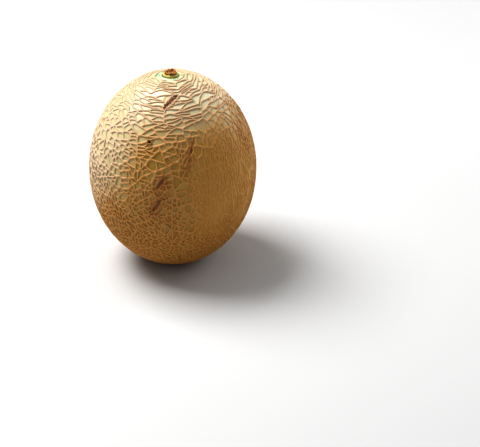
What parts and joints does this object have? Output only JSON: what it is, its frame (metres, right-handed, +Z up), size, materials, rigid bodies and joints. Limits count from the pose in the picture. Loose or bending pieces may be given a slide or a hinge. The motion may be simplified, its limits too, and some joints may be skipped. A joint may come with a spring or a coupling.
{
  "type": "cantaloupe melon",
  "caption": "Whole ripe cantaloupe: an oval melon with a raised net of cork over its tan rind, standing on a small flat spot with the stub of its stem on top.",
  "frame": {"origin": "centre of the flat spot at the blossom end, which the melon stands on", "axes": "+Z up along the core, from the blossom end to the stem; +X to the right and -Y to the front, as the picture shows it"},
  "size_m": [0.15, 0.1499, 0.1813],
  "materials": {
    "rind": "matt tan cork net over a satin skin, green near the stem",
    "stem": "matt, dry and torn"
  },
  "bodies": {
    "root": {"fruit": "rind", "stem_stub": "stem"}
  },
  "joints": []
}
